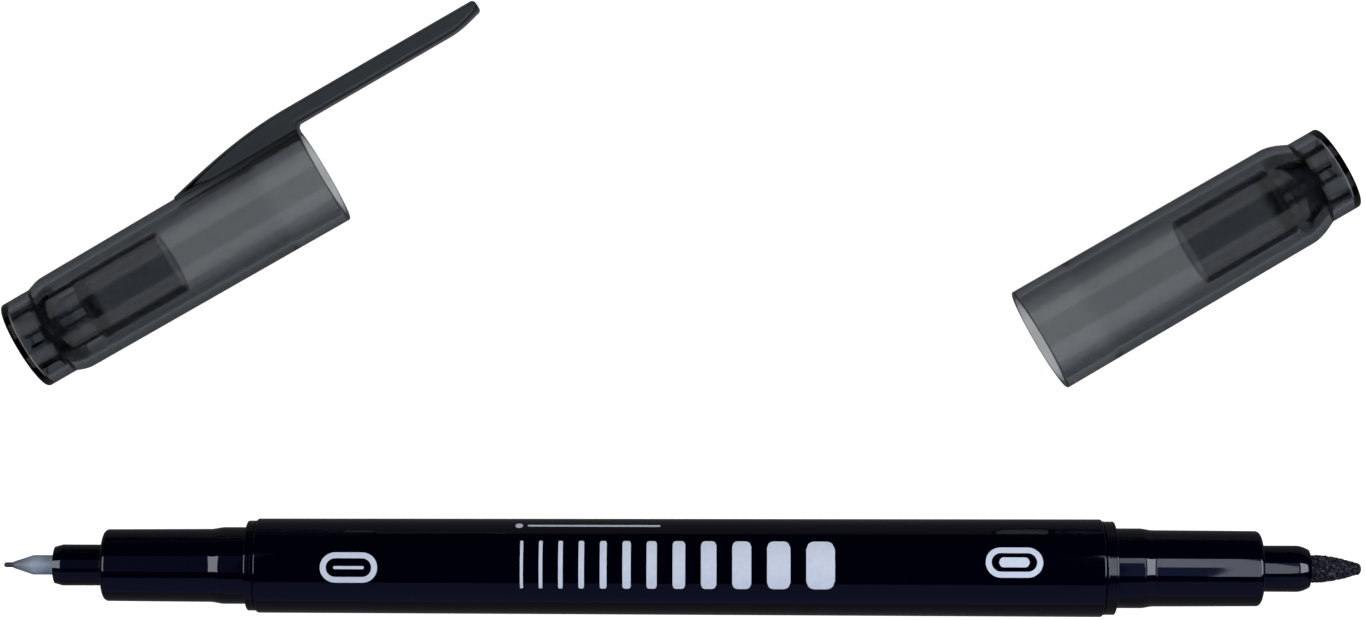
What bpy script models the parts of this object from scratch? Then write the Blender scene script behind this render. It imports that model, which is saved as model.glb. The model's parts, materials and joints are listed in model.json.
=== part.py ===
"""A twin-tip felt marker with its two caps taken off and laid beside it.

The barrel carries a section at each end: one holds a fine plastic point, the other a bullet
felt nib, and both drink from one fibre reservoir. The clipped cap belongs to the fine end and
the plain cap to the bullet end.

Frame: +Z up, the marker lies along X with its fine point towards -X, and the origin is below
the middle of the barrel, on the surface that everything lies on. Every end piece and every cap
is drawn in an end frame: local Z runs from the barrel's end face out over the tip, so a cap
drawn there fits the section drawn there.
"""

import math
from dataclasses import dataclass

import bmesh
import bpy
from mathutils import Matrix, Vector

MM = 0.001
SIDES = 32                      # flats round every turned piece, one of them facing down
ARC_STEPS = 3                   # straight pieces in a rounded corner
CURVE_STEPS = 7                 # straight pieces in a long curve

# ---- barrel and what it holds ----
BARREL_LENGTH = 86.4 * MM
BARREL_BORE = 7.5 * MM
BARREL_EDGE = 0.2 * MM
PLUG_LENGTH = 8.0 * MM          # how far a section's plug reaches into the barrel
SEAT_GAP = 0.1 * MM             # end play between a piece and the face it seats on
FIT_GAP = 0.05 * MM             # radial gap of a pushed-in piece
FILM_WALL = 0.15 * MM
FILM_GAP = 0.25 * MM            # round the wrapped reservoir, so that it slides in
RESERVOIR_END_GAP = 1.0 * MM

# ---- sections ----
SECTION_BORE = 5.2 * MM
FLANGE_ROUND = 0.35 * MM
SHOULDER_ROUND = 0.45 * MM
HEEL_LENGTH = 1.6 * MM          # solid plastic behind the shoulder, where the nib is held
RESERVOIR_BITE = 4.0 * MM       # how far a wick reaches into the reservoir

# ---- fine point ----
SLEEVE_DIA = 2.0 * MM
SLEEVE_LENGTH = 2.25 * MM       # straight part that shows in front of the nose
SLEEVE_CONE = 2.05 * MM
SLEEVE_TIP_DIA = 0.66 * MM
SLEEVE_COLLAR = 2.0 * MM
POINT_DIA = 0.5 * MM
POINT_LENGTH = 0.95 * MM
POINT_GAP = 0.02 * MM
FEED_DIA = 1.5 * MM
FEED_POCKET = 3.0 * MM

# ---- bullet nib ----
NIB_DIA = 2.78 * MM
NIB_STRAIGHT = 1.1 * MM
NIB_LENGTH = 5.4 * MM
NIB_TIP_DIA = 1.15 * MM
NIB_TIP_ROUND = 0.45 * MM
NIB_BULGE = 0.12 * MM           # how far the nib's flank stands out from a straight cone

# ---- caps ----
CAP_LENGTH = 35.3 * MM
CAP_WALL = 0.8 * MM
CAP_END_WALL = 0.5 * MM
CAP_CLEARANCE = 0.05 * MM       # radial, between a cap's mouth and the section's flange
CAP_NECK = 3.3 * MM
CAP_EDGE = 0.25 * MM
MOUTH_DEPTH = 5.6 * MM          # the wide part of the bore, behind the mouth
MOUTH_STEP = 0.12 * MM
INNER_CLEARANCE = 0.1 * MM      # radial, round the nose
TIP_ROOM = 0.8 * MM             # between a nib's tip and the inner cap's floor
INNER_FLOOR = 0.9 * MM          # closes the inner cup behind the nib's tip
COLLAR_RISE = 0.5 * MM          # how far the inner cap's collar stands up into the neck
COLLAR_WALL = 0.8 * MM
POST_DIA = 2.2 * MM
RIB_THICKNESS = 0.9 * MM

# ---- clip ----
FIN_LENGTH = 14.3 * MM
FIN_BITE = 0.2 * MM             # plastic left between the fin's root and the bore
CLIP_WIDTH = 4.0 * MM
CLIP_GAP = 0.2 * MM             # how far the blade's inner face stands off the cap's side
CLIP_THICKNESS = 1.85 * MM
CLIP_REACH = 22.2 * MM          # beyond the cap's mouth
CLIP_TIP_RAMP = 4.1 * MM
CLIP_TIP_THICKNESS = 1.2 * MM
CLIP_ROUND = 0.4 * MM
CLIP_EDGE = 0.2 * MM
CLIP_SPLIT = 0.3 * MM           # gap between the fin and the blade, where the clip bends

# ---- where the caps lie ----
LAY_ANGLE = math.radians(30.3)  # both caps lie turned by this from the marker's line
CLIP_CAP_MOUTH = Vector((-36.5, 40.2, 0.0)) * MM
PLAIN_CAP_MOUTH = Vector((36.7, 23.3, 0.0)) * MM
LINE_UP_GAP = 12.0 * MM         # tip to mouth, once a cap is turned into the marker's line


@dataclass
class End:
    """Sizes of one end of the marker: the barrel's end and its section."""
    barrel_dia: float
    flange_dia: float
    flange_length: float
    rear_dia: float
    rear_length: float
    taper_length: float
    land_dia: float
    land_front_dia: float
    land_length: float
    nose_dia: float
    nose_length: float
    nose_front_dia: float
    nose_draw: float
    hole_dia: float
    tip_length: float

    @property
    def rear_end(self):
        return self.flange_length + self.rear_length

    @property
    def land_start(self):
        return self.rear_end + self.taper_length

    @property
    def shoulder(self):
        return self.land_start + self.land_length

    @property
    def nose_end(self):
        return self.shoulder + self.nose_length

    @property
    def tip(self):
        return self.nose_end + self.tip_length


@dataclass
class Cap:
    """Sizes of one cap, and of the inner cap that seals the nose inside it."""
    end: End
    top_dia: float
    neck_dia: float
    shoulder_length: float
    inner_dia: float
    inner_mouth: float

    @property
    def mouth_dia(self):
        return self.end.flange_dia + 2 * (CAP_CLEARANCE + CAP_WALL)

    @property
    def neck_start(self):
        return CAP_LENGTH - CAP_NECK

    @property
    def shoulder_start(self):
        return self.neck_start - self.shoulder_length

    def side(self, height):
        """Radius of the tapered side at a height above the mouth."""
        share = height / self.shoulder_start
        return (self.mouth_dia + (self.top_dia - self.mouth_dia) * share) / 2


FINE = End(
    barrel_dia=9.62 * MM, flange_dia=9.2 * MM, flange_length=0.95 * MM,
    rear_dia=7.84 * MM, rear_length=2.35 * MM, taper_length=1.5 * MM,
    land_dia=7.46 * MM, land_front_dia=7.34 * MM, land_length=10.85 * MM,
    nose_dia=4.2 * MM, nose_length=5.05 * MM, nose_front_dia=3.76 * MM, nose_draw=0.8 * MM,
    hole_dia=SLEEVE_DIA + 2 * FIT_GAP,
    tip_length=SLEEVE_LENGTH + SLEEVE_CONE + POINT_LENGTH)
BULLET = End(
    barrel_dia=9.98 * MM, flange_dia=9.58 * MM, flange_length=1.25 * MM,
    rear_dia=8.15 * MM, rear_length=2.65 * MM, taper_length=1.3 * MM,
    land_dia=7.8 * MM, land_front_dia=7.7 * MM, land_length=11.0 * MM,
    nose_dia=4.74 * MM, nose_length=5.0 * MM, nose_front_dia=3.9 * MM, nose_draw=1.35 * MM,
    hole_dia=NIB_DIA + 2 * FIT_GAP,
    tip_length=NIB_LENGTH)
CLIP_CAP = Cap(
    end=FINE, top_dia=10.46 * MM, neck_dia=9.54 * MM, shoulder_length=1.8 * MM,
    inner_dia=6.96 * MM, inner_mouth=17.9 * MM)
PLAIN_CAP = Cap(
    end=BULLET, top_dia=10.96 * MM, neck_dia=9.12 * MM, shoulder_length=2.9 * MM,
    inner_dia=7.34 * MM, inner_mouth=17.8 * MM)

FLAT = math.cos(math.pi / SIDES)          # a flat's distance from the axis, for a radius of 1
AXIS_HEIGHT = max(FINE.barrel_dia, BULLET.barrel_dia) / 2 * FLAT
FILM_DIA = BARREL_BORE - 2 * FILM_GAP
RESERVOIR_DIA = FILM_DIA - 2 * (FILM_WALL + FIT_GAP)
RESERVOIR_LENGTH = BARREL_LENGTH - 2 * (PLUG_LENGTH + RESERVOIR_END_GAP)
WICK_END = -(PLUG_LENGTH + RESERVOIR_END_GAP + RESERVOIR_BITE)
CLIP_INNER = CLIP_CAP.mouth_dia / 2 * FLAT + CLIP_GAP
CLIP_OUTER = CLIP_INNER + CLIP_THICKNESS


# ---- scene helpers ----

def clear_scene():
    for item in list(bpy.data.objects):
        bpy.data.objects.remove(item, do_unlink=True)


def new_collection(name):
    collection = bpy.data.collections.new(name)
    bpy.context.scene.collection.children.link(collection)
    return collection


def plastic(name, colour, roughness, alpha=1.0):
    material = bpy.data.materials.new(name)
    material.use_nodes = True
    shader = material.node_tree.nodes["Principled BSDF"]
    shader.inputs["Base Color"].default_value = (*colour, 1.0)
    shader.inputs["Roughness"].default_value = roughness
    shader.inputs["Metallic"].default_value = 0.0
    shader.inputs["Alpha"].default_value = alpha
    return material


def new_empty(name, collection, location, rotation=(0.0, 0.0, 0.0), parent=None):
    item = bpy.data.objects.new(name, None)
    item.empty_display_size = 5 * MM
    item.location = location
    item.rotation_euler = rotation
    item.parent = parent
    collection.objects.link(item)
    return item


def end_frame(name, collection, location, heading, parent=None):
    """An empty whose local Z lies flat and points along heading, with local X straight down."""
    return new_empty(name, collection, location, (0.0, math.radians(90), heading), parent)


def new_object(name, mesh, collection, parent, material=None):
    item = bpy.data.objects.new(name, mesh)
    item.parent = parent
    if material:
        mesh.materials.append(material)
    collection.objects.link(item)
    return item


def as_mesh(item):
    """A welded, smooth-shaded copy of the item's evaluated shape, still in its own frame."""
    bpy.context.view_layer.update()
    graph = bpy.context.evaluated_depsgraph_get()
    mesh = bpy.data.meshes.new_from_object(item.evaluated_get(graph))
    work = bmesh.new()
    work.from_mesh(mesh)
    bmesh.ops.remove_doubles(work, verts=work.verts, dist=0.1e-6)
    work.to_mesh(mesh)
    work.free()
    mesh.shade_smooth()
    mesh.set_sharp_from_angle(angle=math.radians(35))
    return mesh


# ---- outlines: lists of (radius, height), down the outer side and back up the inner one ----

def arc(radius, height, size, start, stop):
    """Points of a round corner about (radius, height), from angle start to stop in degrees."""
    points = []
    for step in range(ARC_STEPS + 1):
        angle = math.radians(start + (stop - start) * step / ARC_STEPS)
        points.append((radius + size * math.cos(angle), height + size * math.sin(angle)))
    return points


def turned(name, outline, closed, collection, parent, material=None):
    """Spin an outline about local Z; an outline that isn't closed starts and ends on the axis."""
    profile = bpy.data.meshes.new(name + "_profile")
    half_flat = math.pi / SIDES
    vertices = [(radius * math.cos(half_flat), radius * math.sin(half_flat), height)
                for radius, height in outline]
    edges = [(index, index + 1) for index in range(len(outline) - 1)]
    if closed:
        edges.append((len(outline) - 1, 0))
    profile.from_pydata(vertices, edges, [])
    guide = new_object(name + "_guide", profile, collection, parent)
    screw = guide.modifiers.new("spin", "SCREW")
    screw.axis = "Z"
    screw.steps = SIDES
    screw.render_steps = SIDES
    screw.use_merge_vertices = True
    screw.merge_threshold = 0.1e-6
    mesh = as_mesh(guide)
    bpy.data.objects.remove(guide)
    return new_object(name, mesh, collection, parent, material)


def extruded(name, outline, width, collection, parent, material=None):
    """A flat outline of (height, distance from the axis on the clip side), width mm across."""
    flat = bpy.data.curves.new(name + "_outline", "CURVE")
    flat.dimensions = "2D"
    flat.fill_mode = "BOTH"
    flat.extrude = width / 2
    spline = flat.splines.new("POLY")
    spline.points.add(len(outline) - 1)
    for point, (height, radius) in zip(spline.points, outline):
        point.co = (height, radius, 0.0, 1.0)
    spline.use_cyclic_u = True
    guide = bpy.data.objects.new(name + "_guide", flat)
    collection.objects.link(guide)
    mesh = as_mesh(guide)
    bpy.data.objects.remove(guide)
    item = new_object(name, mesh, collection, parent, material)
    to_clip_side = Matrix(((0, 0, 1), (0, -1, 0), (1, 0, 0)))
    item.rotation_euler = to_clip_side.to_euler()
    return item


def tool(item, cutters):
    """Turn an item into a hidden guide for a Boolean."""
    for collection in item.users_collection:
        collection.objects.unlink(item)
    cutters.objects.link(item)
    item.hide_render = True
    item.display_type = "WIRE"
    return item


def join(item, guide):
    modifier = item.modifiers.new("join " + guide.name, "BOOLEAN")
    modifier.operation = "UNION"
    modifier.solver = "EXACT"
    modifier.object = guide


# ---- the marker ----

def barrel(parts, axis, material):
    """A tapered tube, moulded with draft, so the bullet end is the thicker one."""
    half = BARREL_LENGTH / 2
    bullet = BULLET.barrel_dia / 2
    fine = FINE.barrel_dia / 2
    bore = BARREL_BORE / 2
    outline = arc(bullet - BARREL_EDGE, half - BARREL_EDGE, BARREL_EDGE, 90, 0)
    outline += arc(fine - BARREL_EDGE, BARREL_EDGE - half, BARREL_EDGE, 0, -90)
    outline += [(bore, -half), (bore, half)]
    return turned("barrel", outline, True, parts, axis, material)


def section(name, end, parts, frame, material):
    """Nose, shoulder, lands and flange in one moulding, with a plug that fills the barrel."""
    nose = end.nose_dia / 2
    land = end.land_front_dia / 2
    flange = end.flange_dia / 2
    plug = BARREL_BORE / 2 - FIT_GAP
    bore = SECTION_BORE / 2
    hole = end.hole_dia / 2
    seat = end.shoulder - HEEL_LENGTH
    outline = [(hole, end.nose_end)]
    for step in range(ARC_STEPS + 1):
        share = 1 - step / ARC_STEPS
        radius = nose - (nose - end.nose_front_dia / 2) * share ** 2
        outline.append((radius, end.nose_end - end.nose_draw * (1 - share)))
    outline.append((nose, end.shoulder))
    outline += arc(land - SHOULDER_ROUND, end.shoulder - SHOULDER_ROUND, SHOULDER_ROUND, 90, 0)
    outline += [(end.land_dia / 2, end.land_start), (end.rear_dia / 2, end.rear_end),
                (end.rear_dia / 2, end.flange_length)]
    outline += arc(flange - FLANGE_ROUND, end.flange_length - FLANGE_ROUND, FLANGE_ROUND, 90, 0)
    outline += [(flange, SEAT_GAP), (plug, SEAT_GAP), (plug, -PLUG_LENGTH),
                (bore, -PLUG_LENGTH), (bore, seat), (hole, seat)]
    return turned(name, outline, True, parts, frame, material)


def fine_nib_sleeve(parts, frame, material):
    """Plastic holder of the point: a cone on a stem, with a collar seated inside the section."""
    front = FINE.nose_end + SLEEVE_LENGTH + SLEEVE_CONE
    seat = FINE.shoulder - HEEL_LENGTH - SEAT_GAP
    collar = SECTION_BORE / 2 - FIT_GAP
    stem = SLEEVE_DIA / 2
    bore = POINT_DIA / 2 + POINT_GAP
    pocket = FEED_DIA / 2 + FIT_GAP
    back = seat - SLEEVE_COLLAR
    outline = [(bore, front), (SLEEVE_TIP_DIA / 2, front),
               (stem, FINE.nose_end + SLEEVE_LENGTH), (stem, seat), (collar, seat),
               (collar, back), (pocket, back), (pocket, back + FEED_POCKET),
               (bore, back + FEED_POCKET)]
    return turned("fine_nib_sleeve", outline, True, parts, frame, material)


def fine_point(parts, frame, material):
    """Plastic writing point with a round end, reaching back to the feed in its pocket."""
    size = POINT_DIA / 2
    back = FINE.shoulder - HEEL_LENGTH - SEAT_GAP - SLEEVE_COLLAR + FEED_POCKET + SEAT_GAP
    outline = arc(0, FINE.tip - size, size, 90, 0)
    outline += [(size, back), (0, back)]
    outline[0] = (0, FINE.tip)
    return turned("fine_point", outline, False, parts, frame, material)


def fine_feed(parts, frame, material):
    """Fibre rod that carries ink from the reservoir to the point."""
    size = FEED_DIA / 2
    front = FINE.shoulder - HEEL_LENGTH - SEAT_GAP - SLEEVE_COLLAR + FEED_POCKET - SEAT_GAP
    outline = [(0, front), (size, front), (size, WICK_END), (0, WICK_END)]
    return turned("fine_feed", outline, False, parts, frame, material)


def bullet_nib(parts, frame, material):
    """Pressed felt rod: a round tip, a flank a little fuller than a cone, and a straight tail."""
    stem = NIB_DIA / 2
    tip = NIB_TIP_DIA / 2
    flank_end = BULLET.tip - NIB_TIP_ROUND
    flank_start = BULLET.nose_end + NIB_STRAIGHT
    outline = []
    for step in range(ARC_STEPS):
        angle = math.pi / 2 * step / ARC_STEPS
        outline.append((tip * math.sin(angle), flank_end + NIB_TIP_ROUND * math.cos(angle)))
    for step in range(CURVE_STEPS + 1):
        share = step / CURVE_STEPS
        radius = tip + (stem - tip) * share + NIB_BULGE * math.sin(math.pi * share)
        outline.append((radius, flank_end + (flank_start - flank_end) * share))
    outline += [(stem, WICK_END), (0, WICK_END)]
    return turned("bullet_nib", outline, False, parts, frame, material)


def reservoir(parts, axis, material):
    """Fibre rod that holds the ink, with the holes that the two wicks press into its ends."""
    half = RESERVOIR_LENGTH / 2
    size = RESERVOIR_DIA / 2
    deep = RESERVOIR_BITE + SEAT_GAP
    bullet_hole = NIB_DIA / 2 + FIT_GAP
    fine_hole = FEED_DIA / 2 + FIT_GAP
    outline = [(0, half - deep), (bullet_hole, half - deep), (bullet_hole, half), (size, half),
               (size, -half), (fine_hole, -half), (fine_hole, deep - half), (0, deep - half)]
    return turned("ink_reservoir", outline, False, parts, axis, material)


def reservoir_film(parts, axis, material):
    """Thin film tube wrapped round the reservoir."""
    half = RESERVOIR_LENGTH / 2
    outer = FILM_DIA / 2
    inner = outer - FILM_WALL
    outline = [(outer, half), (outer, -half), (inner, -half), (inner, half)]
    return turned("reservoir_film", outline, True, parts, axis, material)


# ---- the caps ----

def shoulder_curve(cap, wall):
    """From the neck out to the tapered side, bulging outwards, drawn in by the wall."""
    neck = cap.neck_dia / 2 - wall
    side = cap.top_dia / 2 - wall
    points = []
    for step in range(CURVE_STEPS + 1):
        share = step / CURVE_STEPS
        radius = neck + (side - neck) * math.sin(math.pi / 2 * share)
        points.append((radius, cap.neck_start - cap.shoulder_length * share))
    return points


def cap_shell(name, cap, parts, frame, material):
    """Thin smoky cup: a neck at the closed end, a shoulder, and a side that widens to the mouth."""
    neck = cap.neck_dia / 2
    mouth = cap.mouth_dia / 2
    lip = CAP_WALL / 4
    outline = [(0, CAP_LENGTH)]
    outline += arc(neck - CAP_EDGE, CAP_LENGTH - CAP_EDGE, CAP_EDGE, 90, 0)
    outline += shoulder_curve(cap, 0.0)
    outline += [(mouth, lip), (mouth - lip, 0), (mouth - CAP_WALL, 0),
                (cap.side(MOUTH_DEPTH) - CAP_WALL, MOUTH_DEPTH),
                (cap.side(MOUTH_DEPTH) - CAP_WALL - MOUTH_STEP, MOUTH_DEPTH + MOUTH_STEP)]
    outline += reversed(shoulder_curve(cap, CAP_WALL + MOUTH_STEP))
    inside = CAP_LENGTH - CAP_END_WALL
    outline += [(neck - CAP_WALL - MOUTH_STEP, inside), (0, inside)]
    return turned(name, outline, False, parts, frame, material)


def inner_cap(name, cap, parts, cutters, frame, material):
    """Sealing cup over the nose, a skirted collar in the shoulder, and a post with crossed ribs."""
    outer = cap.inner_dia / 2
    bore = cap.end.nose_dia / 2 + INNER_CLEARANCE
    floor = cap.end.tip + TIP_ROOM
    cup_end = floor + INNER_FLOOR
    shell_inside = CAP_WALL + MOUTH_STEP + FIT_GAP
    collar_end = cap.neck_start + COLLAR_RISE
    collar_floor = collar_end - COLLAR_WALL
    neck = cap.neck_dia / 2 - shell_inside
    skirt = cap.top_dia / 2 - shell_inside
    post = POST_DIA / 2
    post_end = CAP_LENGTH - CAP_END_WALL - SEAT_GAP
    outline = [(0, post_end), (post, post_end), (post, collar_end), (neck, collar_end)]
    outline += shoulder_curve(cap, shell_inside)
    outline += [(skirt - COLLAR_WALL, cap.shoulder_start), (neck - COLLAR_WALL, collar_floor),
                (post, collar_floor), (post, cup_end), (outer, cup_end),
                (outer, cap.inner_mouth), (bore, cap.inner_mouth), (bore, floor), (0, floor)]
    cup = turned(name, outline, False, parts, frame, material)
    rib_start = cup_end - INNER_FLOOR / 2
    rib_end = post_end - SEAT_GAP
    for number, turn in enumerate((math.radians(45), math.radians(135))):
        bpy.ops.mesh.primitive_cube_add(size=1.0)
        rib = bpy.context.object
        rib.name = f"{name}_rib_{number}"
        rib.scale = (2 * neck * FLAT, RIB_THICKNESS, rib_end - rib_start)
        bpy.ops.object.transform_apply(location=False, rotation=False, scale=True)
        rib.parent = frame
        rib.location = (0.0, 0.0, (rib_start + rib_end) / 2)
        rib.rotation_euler = (0.0, 0.0, turn)
        join(cup, tool(rib, cutters))
    return cup


def clip_fin(cap, parts, cutters, frame):
    """Rib that rises out of the cap's side along a quarter of a sine, up to the blade."""
    root = cap.mouth_dia / 2 - CAP_WALL + FIN_BITE
    start = CLIP_SPLIT / 2
    outline = [(start, root), (FIN_LENGTH, root)]
    for step in range(CURVE_STEPS + 1):
        share = step / CURVE_STEPS
        height = FIN_LENGTH + (start - FIN_LENGTH) * share
        side = cap.side(height) * FLAT
        outline.append((height, side + (CLIP_OUTER - side) * math.sin(math.pi / 2 * share)))
    fin = extruded("clip_fin", outline, CLIP_WIDTH, parts, frame)
    return tool(fin, cutters)


def pocket_clip(parts, frame, material):
    """Blade that runs on past the mouth; its inner face lifts away towards a rounded tip."""
    root = -CLIP_SPLIT / 2
    ramp = CLIP_TIP_RAMP - CLIP_REACH
    lift = CLIP_THICKNESS - CLIP_TIP_THICKNESS
    outline = [(root, CLIP_OUTER), (root, CLIP_INNER)]
    for step in range(CURVE_STEPS):
        share = step / CURVE_STEPS
        height = ramp - (CLIP_TIP_RAMP - CLIP_ROUND) * share
        outline.append((height, CLIP_INNER + lift * (1 - math.cos(math.pi / 2 * share))))
    corner = CLIP_ROUND - CLIP_REACH
    outline += arc(corner, CLIP_INNER + lift + CLIP_ROUND, CLIP_ROUND, 270, 180)
    outline += arc(corner, CLIP_OUTER - CLIP_ROUND, CLIP_ROUND, 180, 90)
    blade = extruded("pocket_clip", outline, CLIP_WIDTH, parts, frame, material)
    bevel = blade.modifiers.new("soft edges", "BEVEL")
    bevel.width = CLIP_EDGE
    bevel.segments = 2
    bevel.limit_method = "ANGLE"
    bevel.angle_limit = math.radians(60)
    return blade


# ---- where a cap turns ----

def turn_centre(mouth, lined_up):
    """Point about which a clockwise turn by LAY_ANGLE carries mouth to lined_up."""
    travel = lined_up - mouth
    right = Vector((travel.y, -travel.x, 0.0))
    return mouth + travel / 2 + right / (2 * math.tan(LAY_ANGLE / 2))


def cap_frames(name, cap, mouth, heading, collection):
    """An empty on the cap's turning axis, and the cap's own frame parented to it."""
    way_out = 1.0 if math.cos(heading) > 0 else -1.0
    tip = BARREL_LENGTH / 2 + cap.end.tip
    lined_up = Vector((way_out * (tip + LINE_UP_GAP), 0.0, 0.0))
    centre = turn_centre(mouth, lined_up)
    turn = new_empty(name + "_turn", collection, centre)
    place = mouth - centre
    place.z = cap.mouth_dia / 2 * FLAT
    return end_frame(name + "_frame", collection, place, heading, turn)


def main():
    clear_scene()
    parts = new_collection("twin_tip_marker")
    cutters = new_collection("cutters")

    black = plastic("barrel_black", (0.004, 0.004, 0.009), 0.16)
    section_black = plastic("section_black", (0.003, 0.003, 0.006), 0.12)
    sleeve_grey = plastic("sleeve_grey", (0.26, 0.31, 0.36), 0.35)
    ink_black = plastic("ink_black", (0.01, 0.01, 0.015), 0.5)
    felt = plastic("felt_charcoal", (0.02, 0.02, 0.028), 0.95)
    fibre = plastic("fibre", (0.05, 0.05, 0.07), 1.0)
    film = plastic("film", (0.7, 0.7, 0.7), 0.3, 0.4)
    smoke = plastic("smoky_plastic", (0.08, 0.085, 0.09), 0.15, 0.6)

    axis = end_frame("marker_frame", parts, (0.0, 0.0, AXIS_HEIGHT), 0.0)
    half = BARREL_LENGTH / 2
    fine_end = end_frame("fine_end", parts, (-half, 0.0, AXIS_HEIGHT), math.pi)
    bullet_end = end_frame("bullet_end", parts, (half, 0.0, AXIS_HEIGHT), 0.0)

    barrel(parts, axis, black)
    reservoir(parts, axis, fibre)
    reservoir_film(parts, axis, film)
    section("fine_section", FINE, parts, fine_end, section_black)
    fine_nib_sleeve(parts, fine_end, sleeve_grey)
    fine_point(parts, fine_end, ink_black)
    fine_feed(parts, fine_end, fibre)
    section("bullet_section", BULLET, parts, bullet_end, section_black)
    bullet_nib(parts, bullet_end, felt)

    clip_frame = cap_frames("clip_cap", CLIP_CAP, CLIP_CAP_MOUTH, math.pi + LAY_ANGLE, parts)
    shell = cap_shell("clip_cap_shell", CLIP_CAP, parts, clip_frame, smoke)
    join(shell, clip_fin(CLIP_CAP, parts, cutters, clip_frame))
    inner_cap("clip_cap_inner_cap", CLIP_CAP, parts, cutters, clip_frame, smoke)
    pocket_clip(parts, clip_frame, smoke)

    plain_frame = cap_frames("plain_cap", PLAIN_CAP, PLAIN_CAP_MOUTH, LAY_ANGLE, parts)
    cap_shell("plain_cap_shell", PLAIN_CAP, parts, plain_frame, smoke)
    inner_cap("plain_cap_inner_cap", PLAIN_CAP, parts, cutters, plain_frame, smoke)


main()
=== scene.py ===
import json
import math

import bmesh
import bpy
import numpy as np
from mathutils import Matrix, Vector


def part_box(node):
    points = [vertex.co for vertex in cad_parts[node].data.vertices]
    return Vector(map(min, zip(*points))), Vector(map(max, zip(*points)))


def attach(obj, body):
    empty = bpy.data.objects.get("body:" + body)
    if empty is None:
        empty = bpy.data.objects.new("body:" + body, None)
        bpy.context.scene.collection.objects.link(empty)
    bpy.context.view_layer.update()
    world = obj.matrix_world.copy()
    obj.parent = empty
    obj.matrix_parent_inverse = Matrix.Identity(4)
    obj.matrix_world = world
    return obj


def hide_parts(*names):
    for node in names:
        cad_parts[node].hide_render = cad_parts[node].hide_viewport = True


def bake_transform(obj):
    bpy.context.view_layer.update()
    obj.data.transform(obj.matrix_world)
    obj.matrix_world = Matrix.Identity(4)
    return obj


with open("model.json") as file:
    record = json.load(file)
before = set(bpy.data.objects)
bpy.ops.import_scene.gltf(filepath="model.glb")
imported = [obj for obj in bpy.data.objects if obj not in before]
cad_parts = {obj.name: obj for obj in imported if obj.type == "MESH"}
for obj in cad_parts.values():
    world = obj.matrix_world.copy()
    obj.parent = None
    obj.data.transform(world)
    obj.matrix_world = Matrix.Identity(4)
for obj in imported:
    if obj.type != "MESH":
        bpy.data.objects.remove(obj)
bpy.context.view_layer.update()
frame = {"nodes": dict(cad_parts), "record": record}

MM = 0.001

# ---------------------------------------------------------------------------------------------
# Camera. A long lens straight above the set, as on a copy stand, and turned by a fifth of a
# degree. It hangs a third of a metre up, so that the caps show a sliver of their open mouths.
# ---------------------------------------------------------------------------------------------
barrel_low, barrel_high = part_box("barrel")
AXIS_HEIGHT = (barrel_low.z + barrel_high.z) / 2
VIEW_DISTANCE = 330 * MM
VIEW_WIDTH = 139.88 * MM
VIEW_CENTRE = (0.28 * MM, 26.3 * MM)
VIEW_TURN = 0.18
SENSOR_WIDTH = 36.0

camera_data = bpy.data.cameras.new("copy_stand_camera")
camera_data.sensor_width = SENSOR_WIDTH
camera_data.lens = SENSOR_WIDTH * VIEW_DISTANCE / VIEW_WIDTH
camera_data.clip_start = 10 * MM
camera = bpy.data.objects.new("copy_stand_camera", camera_data)
camera.location = (*VIEW_CENTRE, AXIS_HEIGHT + VIEW_DISTANCE)
camera.rotation_euler = (0.0, 0.0, math.radians(VIEW_TURN))
bpy.context.scene.collection.objects.link(camera)
bpy.context.scene.camera = camera
bpy.context.scene.view_settings.view_transform = "Standard"

# ---------------------------------------------------------------------------------------------
# Stage and light. A white light table in a dark room. Soft boxes, strips and dim panels over the
# two ends and a bluish card along the near side light the marker, and two large soft boxes, one
# on each side of their line, light the caps.
# ---------------------------------------------------------------------------------------------
TABLE_HALF = 1500 * MM
TABLE_DROP = 0.03 * MM
ROOM_GLOW = 0.012


def placed(name, mesh):
    """An object that shows the mesh at the origin."""
    item = bpy.data.objects.new(name, mesh)
    bpy.context.scene.collection.objects.link(item)
    return item


def new_material(name):
    """A material with nodes, its node tree and its Principled shader."""
    material = bpy.data.materials.new(name)
    material.use_nodes = True
    return material, material.node_tree, material.node_tree.nodes["Principled BSDF"]


def set_sockets(node, **values):
    """Set a node's inputs by name, with _ for a space."""
    for name, value in values.items():
        node.inputs[name.replace("_", " ")].default_value = value
    return node


def new_node(tree, kind, **values):
    """A new shader node with its inputs set by name."""
    return set_sockets(tree.nodes.new("ShaderNode" + kind), **values)


def maths(tree, operation, first, second):
    """A Math node of two inputs, each a socket or a number, and its output."""
    node = tree.nodes.new("ShaderNodeMath")
    node.operation = operation
    for socket, value in zip(node.inputs, (first, second)):
        if isinstance(value, (int, float)):
            socket.default_value = value
        else:
            tree.links.new(value, socket)
    return node.outputs["Value"]


table_mesh = bpy.data.meshes.new("light_table")
table_mesh.from_pydata([(x * TABLE_HALF, y * TABLE_HALF, -TABLE_DROP)
                        for x, y in ((-1, -1), (1, -1), (1, 1), (-1, 1))], [], [(0, 1, 2, 3)])
light_table = placed("light_table", table_mesh)

# The acrylic glows for the eye and stays dim in reflections, as the room behind it does.
white_acrylic, tree, shader = new_material("white_acrylic")
set_sockets(shader, Roughness=0.9, Specular_IOR_Level=0.0, Emission_Color=(1, 1, 1, 1))
path = tree.nodes.new("ShaderNodeLightPath")
for socket, seen, mirrored in (("Base Color", 0.35, 0.02), ("Emission Strength", 0.9, 0.08)):
    level = new_node(tree, "MapRange", To_Min=seen, To_Max=mirrored)
    tree.links.new(path.outputs["Is Reflection Ray"], level.inputs["Value"])
    tree.links.new(level.outputs["Result"], shader.inputs[socket])
table_mesh.materials.append(white_acrylic)

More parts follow.
